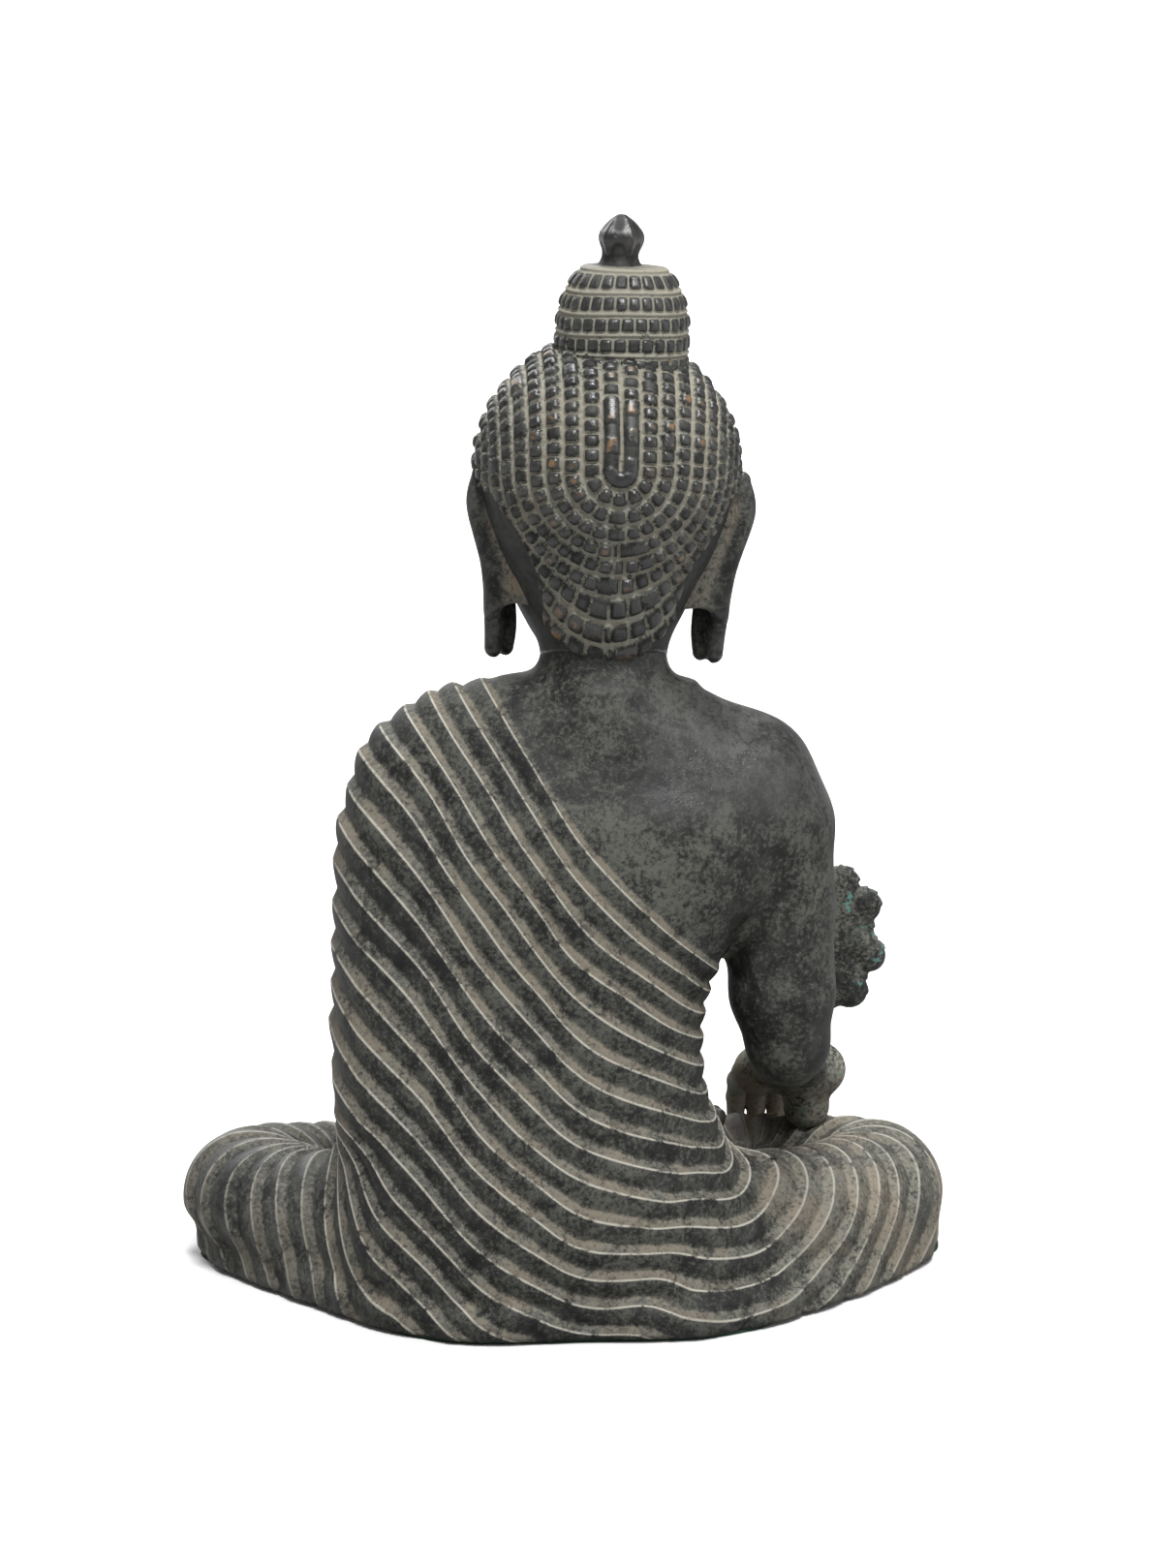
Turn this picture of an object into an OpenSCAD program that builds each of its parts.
// Seated healing Buddha, a sectional brass casting with an antique finish.
// It faces -Y, its right hand side is -X, and it stands on z = 0.

/* [Figure] */
// Height from the table to the tip of the finial
statue_h = 216; // [180:1:260]
// Wall of the hollow castings
wall = 3.2; // [2.6:0.1:4]
// How far the head leans to the figure's right, in degrees
head_lean = 2.2; // [0:0.1:5]

/* [Topknot and finial] */
// Number of rows of curls on the topknot
topknot_rows = 5; // [4:1:6]
// Radius of the topknot at its middle
topknot_r = 12.8; // [11:0.1:13.5]
// Height of the topknot
topknot_h = 19.4; // [18:0.1:22]

/* [Bowl] */
// Outer radius of the medicine bowl
bowl_r = 12; // [10:0.5:13]
// Height of the bowl over its foot
bowl_h = 15; // [12:0.5:17]
// Wall of the bowl
bowl_wall = 1.6; // [1.2:0.1:2]

/* [Base] */
// Thickness of the felt pad under the rim
felt_t = 0.8; // [0.5:0.1:1.5]
// Thickness of the sheet brass base plate
plate_t = 1.2; // [0.8:0.1:2]
// Radius of the base screws' shanks
screw_r = 1.5; // [1.2:0.1:2]

/* [Dowels] */
// Radius of the dowels that locate the castings
dowel_r = 2.5; // [2:0.1:3]
// Radial clearance of a dowel in its bore
dowel_gap = 0.05; // [0.02:0.01:0.1]

/* [Hidden] */

patina = [0.27, 0.28, 0.27];
brass = [0.72, 0.56, 0.30];
felt = [0.09, 0.09, 0.09];
fine = 64;        // facets of turned pieces
coarse = 20;      // facets of the modelled forms
small = 12;       // facets of fingers, toes and leaves
eps = 0.01;

// Every point below is given for a figure this high, and canon scales it to statue_h.
canon_h = 216;
canon = statue_h / canon_h;
function at(x, y, z, r) = [x, y, z, r] * canon;
function mirrored(p) = [-p[0], p[1], p[2], p[3]];

// Heights of the joints between the castings
waist_z = 28 * canon;
collar_z = 132 * canon;
sleeve_z = 64 * canon;
rim_z = felt_t;

// The trunk, as [z, centre x, centre y, half width, half depth, squareness]
trunk = [
    [0, 0, 8, 45, 29, 2.5],
    [14, 5, 9, 43.4, 29, 2.4],
    [28, 8, 10, 39.2, 27.2, 2.4],
    [36, 9.6, 10, 37.8, 25.6, 2.4],
    [46, 11.6, 10, 36.5, 24, 2.5],
    [60, 11.4, 9.5, 36.3, 22.6, 2.5],
    [72, 9, 9, 38, 22, 2.5],
    [86, 4, 8.5, 41.8, 21.6, 2.5],
    [98, 0.5, 8, 43.2, 20, 2.4],
    [108, -1.5, 7.6, 39, 16.6, 2.2],
    [116, -3, 7, 29, 13.6, 2.1],
    [123, -5, 6.4, 17, 11, 2],
] * canon;

neck = [at(-4.6, 6, 117, 14), at(-5.4, 5.5, 126, 13.2), at(-5.7, 4, 138, 12.8)];
right_shoulder = at(-34.1, 4, 103.7, 14.2);
left_shoulder = at(29, 5, 105.6, 14.2);
chest = [at(-29, 3, 102, 13), at(-16, -3.4, 94, 11.4), at(14, -3.4, 95, 11.4), at(24, 3, 104, 13), at(-4.6, 2, 112, 11)];
right_upper_arm = [at(-38.4, 4, 94, 12.8), at(-40.2, 4.5, 80, 11.2), at(-41.4, 5, 62, 10), at(-41.8, 5, 51.5, 8.5)];
right_forearm = [right_upper_arm[3], at(-43.4, -10, 45.5, 7.2), at(-45.5, -25, 41.5, 5.6)];
left_sleeve = [at(33.8, 4.5, 94, 13.2), at(35, 2, 76, 13), at(35, -2, 58, 13.4), at(32, -10, 47, 11.6)];
left_drape = [at(34, -2, 56, 13), at(36, -6, 32, 12)];
left_forearm = [at(33, -10, 46, 9), at(24, -19, 41.5, 7.2), at(14, -26, 38, 5.8)];

// The legs, folded in the lotus seat, as [x, y, z, radius, radius at the rim]
function leg(x, y, z, r, rim) = [x, y, z, r, rim] * canon;
lap = leg(0, -20, 9, 13, 14);
left_leg = [leg(17, 9, 12, 19, 28.4), leg(43, -2.5, 12, 16.6, 14.6), leg(63.8, -29, 12, 14.4, 12.8),
            leg(38, -43, 11.5, 12.3, 11.5), leg(5, -47.5, 11, 11.3, 10.4)];
right_leg = [leg(-17, 9, 12, 19, 28.4), leg(-45.5, 0, 12, 17, 15.5), leg(-63.9, -25, 12, 14.5, 14.8),
             leg(-38, -42, 11.5, 12.3, 11.8), leg(-5, -47.5, 11, 11.3, 10.4)];

module ball(p, grow = 0) {
    translate([p[0], p[1], p[2]]) sphere(p[3] + grow, $fn = p[3] > 4 ? coarse : small);
}

// A chain of tapering round sections through the points
module limb(points, grow = 0) {
    for (i = [0:len(points) - 2]) hull() {
        ball(points[i], grow);
        ball(points[i + 1], grow);
    }
}

// A leg section: round on top, with nearly upright sides down to the rim
module leg_block(p, grow = 0) {
    ball(p, grow);
    translate([p[0], p[1], rim_z]) cylinder(r1 = p[4] - 0.6 + grow, r2 = p[4] + grow, h = 4 * canon, $fn = 32);
}

module leg_chain(points, grow = 0) {
    for (i = [0:len(points) - 2]) hull() {
        leg_block(points[i], grow);
        leg_block(points[i + 1], grow);
    }
}

function spline(a, b, c, d, t) =
    0.5 * (2 * b + (c - a) * t + (2 * a - 5 * b + 4 * c - d) * t * t + (3 * b - a - 3 * c + d) * t * t * t);
function station(table, s) =
    let (last = len(table) - 1, i = min(floor(s), last - 1), t = s - i)
    spline(table[max(i - 1, 0)], table[i], table[i + 1], table[min(i + 2, last)], t);
function power(v, e) = sign(v) * pow(abs(v), e);
function section(st, grow, count) =
    [for (j = [0:count - 1]) let (a = 360 * j / count, e = 2 / (st[5] / canon))
        [st[1] + (st[3] + grow) * power(cos(a), e), st[2] + (st[4] + grow) * power(sin(a), e), st[0]]];

// A closed solid through the table's sections, from the first to the last
module loft(table, grow = 0, steps = 16, count = 36) {
    last = len(table) - 1;
    rings = [for (k = [0:steps]) section(station(table, last * k / steps), grow, count)];
    points = [for (r = rings) each r];
    sides = [for (k = [0:steps - 1], j = [0:count - 1])
        let (n = (j + 1) % count, a = k * count + j, b = k * count + n)
        each [[a, a + count, b + count], [a, b + count, b]]];
    bottom = [for (j = [0:count - 1]) j];
    top = [for (j = [count - 1:-1:0]) steps * count + j];
    polyhedron(points, concat(sides, [bottom, top]), convexity = 4);
}

module above(z) { translate([-150, -150, z]) cube([300, 300, 300]); }
module below(z) { translate([-150, -150, z - 300]) cube([300, 300, 300]); }
module bore(p, r, h) { translate(p) cylinder(r = r, h = h, $fn = 48); }

// ---- Castings ----

module leg_form(grow = 0) {
    leg_chain(left_leg, grow);
    leg_chain(right_leg, grow);
    hull() for (p = [left_leg[0], right_leg[0], left_leg[4], right_leg[4], lap]) leg_block(p, grow);
    for (p = [left_leg, right_leg]) hull() {
        leg_block(p[0], grow);
        leg_block(p[1], grow);
        leg_block(p[3], grow);
        leg_block(lap, grow);
    }
    intersection() {
        loft(trunk, grow);
        below(waist_z + grow);
    }
}

// The outline of the rim on the table
module footprint(grow = 0) {
    offset(delta = grow) hull() for (p = concat(left_leg, right_leg)) translate([p[0], p[1]]) circle(p[4] - 0.6, $fn = 64);
}

lug_r = 4;
lug_h = 9;
lugs = [[56, -28], [-56, -28], [24, 22], [-24, 22], [0, -44]] * canon;

waist_dowel_at = [[38, 8], [-18, 8], [8, 26]] * canon;
waist_dowel_l = 12;

// The lower casting: hips, thighs and shins, open underneath, with lugs for the base plate
module seat_casting() {
    color(patina) difference() {
        intersection() {
            leg_form();
            above(rim_z);
        }
        intersection() {
            loft(trunk, 0.05);
            above(waist_z);
        }
        difference() {
            intersection() {
                leg_form(-wall);
                above(rim_z - 1);
                below(waist_z - wall);
            }
            for (p = lugs) translate([p.x, p.y, rim_z + plate_t]) cylinder(r = lug_r, h = 40, $fn = 32);
            for (p = waist_dowel_at) translate([p.x, p.y, waist_z - waist_dowel_l]) cylinder(r = lug_r + 0.6, h = 40, $fn = 32);
        }
        translate([0, 0, rim_z - eps]) linear_extrude(plate_t + eps) footprint(-1.6);
        for (p = lugs) bore([p.x, p.y, rim_z], screw_r, lug_h);
        for (p = waist_dowel_at) bore([p.x, p.y, waist_z - waist_dowel_l / 2], dowel_r + dowel_gap, waist_dowel_l);
    }
}

// The body casting: trunk, robe-covered left upper arm, both shoulders and the neck
module torso_casting() {
    color(patina) difference() {
        union() {
            intersection() {
                loft(trunk);
                above(waist_z);
            }
            intersection() {
                limb(neck);
                below(collar_z);
            }
            hull() {
                ball(right_shoulder);
                ball(neck[0], 0.8);
            }
            hull() {
                ball(left_shoulder);
                ball(neck[0], 1.6);
            }
            hull() for (p = chest) ball(p);
            intersection() {
                limb([right_shoulder, right_upper_arm[0], right_upper_arm[1], right_upper_arm[2]]);
                above(sleeve_z);
            }
            difference() {
                union() {
                    limb(concat([left_shoulder], left_sleeve));
                    limb(left_drape);
                }
                leg_form(0.1);
            }
        }
        difference() {
            intersection() {
                loft(trunk, -wall, steps = 10, count = 24);
                above(waist_z - 1);
                below(116 * canon);
            }
            for (p = waist_dowel_at) translate([p.x, p.y, 0]) cylinder(r = lug_r + 0.6, h = waist_z + waist_dowel_l, $fn = 32);
        }
        bore([neck[1][0], neck[1][1], 108 * canon], neck_bore_r, 30 * canon);
        bore([right_upper_arm[2][0], right_upper_arm[2][1], sleeve_z - eps], dowel_r + dowel_gap, arm_dowel_l / 2 + eps);
        for (p = waist_dowel_at) bore([p.x, p.y, waist_z - eps], dowel_r + dowel_gap, waist_dowel_l / 2 + eps);
        limb(left_forearm, 0.1);
        head_frame() head_form(0.05);
    }
}

head_axis = [-5.5, 4, 132] * canon;
ear_shift = [-0.7, 0, 0] * canon;
finial_shift = [1, 0, 0] * canon;
cranium = [at(0, 0.6, 36, 25.4), at(0, -2, 27, 22.6)];
nape = at(0, 3, 13, 14.6);
jaw = at(0, -7.4, 10.6, 15);
chin = at(0, -13.6, 3.6, 6.6);
neck_bore_r = 8.8 * canon;

module head_frame() {
    translate(head_axis) rotate([0, -head_lean, 0]) children();
}

module head_form(grow = 0) {
    for (pair = [[cranium[0], cranium[1]], [cranium[0], nape], [cranium[1], jaw], [nape, jaw], [jaw, chin]]) hull() {
        ball(pair[0], grow);
        ball(pair[1], grow);
    }
}

nose = [at(0, -23.4, 28, 1.3), at(0, -25.2, 18.4, 2), at(2.4, -23, 17.4, 1.4), at(-2.4, -23, 17.4, 1.4)];
lips = [at(3.8, -21.4, 11, 1.5), at(-3.8, -21.4, 11, 1.5)];
lower_lip = [at(2.6, -21.6, 8.6, 1.6), at(-2.6, -21.6, 8.6, 1.6)];
eyelid = [at(4.6, -22.6, 23, 1.5), at(8, -22, 23.3, 1.9), at(11.6, -19.4, 23.6, 1.3)];

// Calm, plain features: nose, lips and lowered lids
module features() {
    for (group = [nose, lips, lower_lip, eyelid, [for (p = eyelid) mirrored(p)]]) hull() for (p = group) ball(p);
}

// The head with its cap of curls, hollow and open to the neck
module head_casting() {
    color(patina) difference() {
        union() {
            head_frame() {
                head_form();
                features();
            }
            intersection() {
                limb([neck[1], neck[2], at(-6, 4, 145, 12)]);
                above(collar_z);
            }
        }
        head_frame() {
            head_form(-wall);
            bore([0, 0, topknot_seat - 12], dowel_r + dowel_gap, 30);
        }
        bore([neck[1][0], neck[1][1], collar_z - eps], neck_bore_r, 14);
    }
}

topknot_seat = 54 * canon;
topknot_axis = [-1.2, 1.2, 0] * canon;
topknot_top = topknot_seat + topknot_h + 0.4;

// Rows of curls on the topknot, one rounded hoop above another, narrowing to the top
module topknot_profile() {
    row_h = topknot_h / topknot_rows;
    polygon(concat(
        [[dowel_r + dowel_gap, -4], [topknot_r - 1.4, -4]],
        [for (i = [0:topknot_rows - 1], a = [-80:40:80])
            let (mid = (i + 0.5) / topknot_rows, swell = topknot_r * (1 - 0.34 * pow(mid, 3.2)))
            [swell - 1 + cos(a), (i + 0.5) * row_h + 0.46 * row_h * sin(a)]],
        [[topknot_r * 0.55, topknot_h + 0.4], [dowel_r + dowel_gap, topknot_h + 0.4]]));
}

// The topknot, a turned form with rows of curls, seated on the crown
module topknot() {
    color(patina) difference() {
        head_frame() translate(topknot_axis + [0, 0, topknot_seat]) rotate_extrude($fn = fine) topknot_profile();
        head_frame() head_form(0.05);
    }
}

finial_h = (statue_h - head_axis.z) / cos(head_lean) - topknot_top;

// The jewel on the topknot: a pointed, faceted bud over a collar
module finial() {
    color(patina) head_frame() translate(topknot_axis + finial_shift + [0, 0, topknot_top])
        rotate_extrude($fn = 8) polygon([
            [0, 0], [4.4, 0], [4.5, 0.7], [3.3, 1.6], [3, 2.4], [4.2, 4.6], [4.5, 6.2], [3.8, 7.8],
            [2.2, 9.2], [1, 9.9], [0, finial_h]]);
}

ear_rim = [at(25.4, 2, 32, 2), at(25.8, 3, 27, 1.8), at(24, 2, 15, 1.6), at(21.4, 0, 4, 1.8), at(19.8, -1.6, -1.2, 2.2)];
ear_fold = [at(22.6, -6, 31, 1.8), at(21.6, -7, 22, 1.6), at(19.4, -6.4, 13, 1.6), at(18, -4, 4, 1.7), at(18.4, -4, -1, 2)];

// A long ear with a hanging lobe, brazed to the side of the head
module ear_form() {
    for (i = [0:len(ear_rim) - 2]) hull() {
        ball(ear_rim[i]);
        ball(ear_rim[i + 1]);
        ball(ear_fold[i]);
        ball(ear_fold[i + 1]);
    }
}

module left_ear() {
    color(patina) difference() {
        head_frame() translate(ear_shift) ear_form();
        head_frame() head_form(0.05);
    }
}

module right_ear() {
    color(patina) difference() {
        head_frame() translate(ear_shift) mirror([1, 0, 0]) ear_form();
        head_frame() head_form(0.05);
    }
}

arm_dowel_l = 16;
wrist_dowel_l = 10;
wrist_dowel_r = 1.5;
right_wrist = [right_forearm[2][0], right_forearm[2][1], right_forearm[2][2]];

module wrist_pin(p, turn, r, l) {
    translate(p) rotate(turn) cylinder(r = r, h = l, center = true, $fn = 32);
}
right_wrist_turn = [90, 0, 4];
left_wrist_turn = [90, 0, -55];
left_wrist = [left_forearm[2][0], left_forearm[2][1], left_forearm[2][2]];

// The bare right arm from below the armpit to the wrist
module right_arm() {
    color(patina) difference() {
        intersection() {
            union() {
                limb([right_upper_arm[1], right_upper_arm[2], right_upper_arm[3]]);
                limb(right_forearm);
            }
            below(sleeve_z);
            translate([-150, right_wrist.y, -150]) cube([300, 300, 300]);
        }
        bore([right_upper_arm[2][0], right_upper_arm[2][1], sleeve_z - arm_dowel_l / 2], dowel_r + dowel_gap, arm_dowel_l);
        wrist_pin(right_wrist, right_wrist_turn, wrist_dowel_r + dowel_gap, wrist_dowel_l);
    }
}

function finger(root, knuckle, tip, r) =
    [at(root.x, root.y, root.z, r), at(knuckle.x, knuckle.y, knuckle.z, r * 0.92), at(tip.x, tip.y, tip.z, r * 0.8)];

right_palm = [at(-45.5, -25, 41, 5.6), at(-40.6, -32, 36, 4.8), at(-53, -31, 36.4, 5.4), at(-40.5, -43, 33, 3.6), at(-51, -43, 33, 3.6)];
sprig_base = at(-54, -36, 36, 1.6);
sprig_root = at(-55, -30, 49, 1.7);

// The right hand, palm outward over the knee, with the sprig's stem between thumb and forefinger
module right_hand() {
    color(patina) difference() {
        union() {
            hull() for (p = right_palm) ball(p);
            for (i = [0:3]) let (x = -38.6 - 4.3 * i, reach = 1.2 * (1.5 - abs(i - 1.6)))
                limb(finger([x, -44, 32.4], [x, -52.5, 28.4], [x, -58.5, 20 - reach], 2.5));
            limb(finger([-53.6, -33, 36], [-56, -39, 38], [-54, -45.5, 35.5], 2.9));
        }
        translate([-150, right_wrist.y - eps, -150]) cube([300, 300, 300]);
        wrist_pin(right_wrist, right_wrist_turn, wrist_dowel_r + dowel_gap, wrist_dowel_l);
        hull() {
            ball(sprig_base, 0.05);
            ball(sprig_root, 0.05);
        }
        leg_form(0.1);
    }
}

leaf_mid = [-57, -28, 65] * canon;
leaf_lobes = 9;
leaf_reach = [6.2, 12.6] * canon;

// The fruiting sprig: a stem and one lobed cluster of leaves
module sprig() {
    color(patina) {
        limb([sprig_base, sprig_root, at(-56.6, -28, 57, 2.2)]);
        translate(leaf_mid) rotate([90, 0, 0]) {
            hull() for (a = [0:45:315]) translate([0.8 * leaf_reach.x * cos(a), 0.8 * leaf_reach.y * sin(a), 0])
                sphere(2.2 * canon, $fn = small);
            for (i = [0:leaf_lobes - 1]) let (a = -70 + 320 * i / (leaf_lobes - 1)) hull() {
                translate([leaf_reach.x * cos(a), leaf_reach.y * sin(a), 0]) sphere(2.7 * canon, $fn = small);
                translate([0, 2, 0] * canon) sphere(3 * canon, $fn = small);
            }
        }
    }
}

// The left forearm, coming out of the robe
module left_arm() {
    color(patina) difference() {
        intersection() {
            limb(left_forearm);
            translate(left_wrist) rotate([0, 0, left_wrist_turn.z]) translate([-150, 0, -150]) cube([300, 300, 300]);
        }
        wrist_pin(left_wrist, left_wrist_turn, wrist_dowel_r + dowel_gap, wrist_dowel_l);
        leg_form(0.1);
        foot_form(right_foot_points, 0.1);
    }
}

left_palm = [at(14, -26, 38, 5.8), at(7, -36, 33.4, 3.8), at(2, -24, 33.4, 3.8), at(-3, -34, 33, 3)];

// The left hand, palm up in the lap under the bowl
module left_hand() {
    color(patina) difference() {
        union() {
            hull() for (p = left_palm) ball(p);
            for (i = [0:3]) limb(finger([0, -36 + 3.8 * i, 33], [-8.5, -36.5 + 3.8 * i, 33],
                                        [-16.5 + abs(i - 1.4), -35.5 + 3.7 * i, 34.5], 2.4));
            limb(finger([8, -37, 35.5], [2, -42, 37], [-4.5, -41.5, 38.5], 2.5));
        }
        translate(left_wrist) rotate([0, 0, left_wrist_turn.z]) translate([-150, -eps, -150]) cube([300, 300, 300]);
        wrist_pin(left_wrist, left_wrist_turn, wrist_dowel_r + dowel_gap, wrist_dowel_l);
        bore(bowl_at - [0, 0, bowl_dowel_l / 2], bowl_dowel_r + dowel_gap, 10);
        translate(bowl_at) rotate_extrude($fn = 48) bowl_solid();
        leg_form(0.1);
        foot_form(right_foot_points, 0.1);
        foot_form(left_foot_points, 0.1);
    }
}

bowl_at = [0, -29, 36] * canon;
bowl_dowel_r = 1;
bowl_dowel_l = 5;

module bowl_solid(inset = 0) {
    polygon(concat(
        [[0, inset * 1.3], [bowl_r * 0.5 - inset, inset * 1.3]],
        [for (a = [-50:10:40]) [(bowl_r - inset) * cos(a), bowl_h * 0.56 + (bowl_h * 0.62 - inset) * sin(a)]],
        [[bowl_r * 0.8 - inset, bowl_h + inset * 2], [0, bowl_h + inset * 2]]));
}

// The medicine bowl, open at the top
module bowl() {
    color(patina) difference() {
        translate(bowl_at) rotate_extrude($fn = fine) difference() {
            bowl_solid();
            bowl_solid(bowl_wall);
        }
        bore(bowl_at - [0, 0, eps], bowl_dowel_r + dowel_gap, bowl_dowel_l / 2 - 1);
    }
}

right_foot_points = [at(12, -41.5, 24.5, 5), at(23, -36, 25.5, 4.6), at(34, -29.5, 26.5, 3.8)];
left_foot_points = [at(-10, -41.5, 23.5, 4.8), at(-20, -37.5, 24, 4.4), at(-29.5, -32, 24.6, 3.6)];

// A foot, sole up on the opposite thigh
module foot_form(p, grow = 0) {
    limb(p, grow);
    for (i = [0:4]) let (side = sign(p[2][0]), x = p[2][0] + side * (3.5 - abs(i - 1.5) * 0.6) * canon)
        hull() {
            ball([x, p[2][1] + (i - 2) * 3 * canon, p[2][2] + 0.6 * canon, 1.9 * canon], grow);
            ball([p[1][0], p[1][1] + (i - 2) * 1.6 * canon, p[1][2], 3 * canon], grow);
        }
}

module right_foot() {
    color(patina) difference() {
        foot_form(right_foot_points);
        leg_form(0.1);
        loft(trunk, 0.1);
    }
}

module left_foot() {
    color(patina) difference() {
        foot_form(left_foot_points);
        leg_form(0.1);
        loft(trunk, 0.1);
    }
}

hem_at = [0, -50, 0] * canon;
hem_r = 15 * canon;
hem_pleats = 7;

// The fan of pleats where the robe spills out in front of the shins
module robe_hem() {
    color(patina) difference() {
        union() {
            for (i = [0:hem_pleats - 1]) let (a = 200 + 140 * i / (hem_pleats - 1)) hull() {
                translate(hem_at + [0, 0, rim_z]) cylinder(r = 3 * canon, h = 4.4, $fn = coarse);
                translate(hem_at + [hem_r * cos(a) * 1.2, hem_r * sin(a) * 0.7, rim_z])
                    cylinder(r1 = 2.9 * canon, r2 = 1.9 * canon, h = 3.2, $fn = coarse);
            }
            hull() {
                translate(hem_at + [0, 0, rim_z]) cylinder(r = 8 * canon, h = 3, $fn = coarse);
                translate(hem_at + [0, 8, rim_z]) cylinder(r = 8 * canon, h = 3, $fn = coarse);
            }
        }
        leg_form(0.1);
    }
}

// ---- Dowels and base ----

module neck_sleeve() {
    color(brass) translate([neck[1][0], neck[1][1], collar_z - 11]) difference() {
        cylinder(r = neck_bore_r - 0.15, h = 22, $fn = fine);
        translate([0, 0, -1]) cylinder(r = neck_bore_r - 1.8, h = 24, $fn = fine);
    }
}

module topknot_dowel() {
    color(brass) head_frame() translate(topknot_axis + [0, 0, topknot_seat - 6])
        cylinder(r = dowel_r, h = topknot_h + 5.5, $fn = fine);
}

module waist_dowels() {
    color(brass) for (p = waist_dowel_at) translate([p.x, p.y, waist_z - waist_dowel_l / 2 + 0.1])
        cylinder(r = dowel_r, h = waist_dowel_l - 0.2, $fn = fine);
}

module right_arm_dowel() {
    color(brass) translate([right_upper_arm[2][0], right_upper_arm[2][1], sleeve_z - arm_dowel_l / 2 + 0.1])
        cylinder(r = dowel_r, h = arm_dowel_l - 0.2, $fn = fine);
}

module right_wrist_dowel() {
    color(brass) wrist_pin(right_wrist, right_wrist_turn, wrist_dowel_r, wrist_dowel_l - 0.2);
}

module left_wrist_dowel() {
    color(brass) wrist_pin(left_wrist, left_wrist_turn, wrist_dowel_r, wrist_dowel_l - 0.2);
}

module bowl_dowel() {
    color(brass) translate(bowl_at - [0, 0, bowl_dowel_l / 2]) cylinder(r = bowl_dowel_r, h = bowl_dowel_l - 1.1, $fn = 32);
}

screw_head_r = 2.8;
screw_l = 8;

module base_plate() {
    color(brass) difference() {
        translate([0, 0, rim_z]) linear_extrude(plate_t) footprint(-1.9);
        for (p = lugs) translate([p.x, p.y, rim_z - eps]) {
            cylinder(r = screw_r + 0.2, h = plate_t + 1, $fn = 48);
            cylinder(r1 = screw_head_r + 0.1, r2 = screw_r + 0.2, h = plate_t * 0.8, $fn = 48);
        }
    }
}

module base_screws() {
    color(brass) for (p = lugs) translate([p.x, p.y, rim_z + 0.05]) {
        cylinder(r1 = screw_head_r, r2 = screw_r, h = plate_t * 0.8, $fn = 48);
        cylinder(r = screw_r - 0.05, h = screw_l, $fn = 48);
    }
}

module felt_pad() {
    color(felt) linear_extrude(felt_t) footprint(-0.4);
}

seat_casting();
torso_casting();
head_casting();
topknot();
finial();
left_ear();
right_ear();
right_arm();
right_hand();
sprig();
left_arm();
left_hand();
bowl();
left_foot();
right_foot();
robe_hem();
neck_sleeve();
topknot_dowel();
waist_dowels();
right_arm_dowel();
right_wrist_dowel();
left_wrist_dowel();
bowl_dowel();
base_plate();
base_screws();
felt_pad();
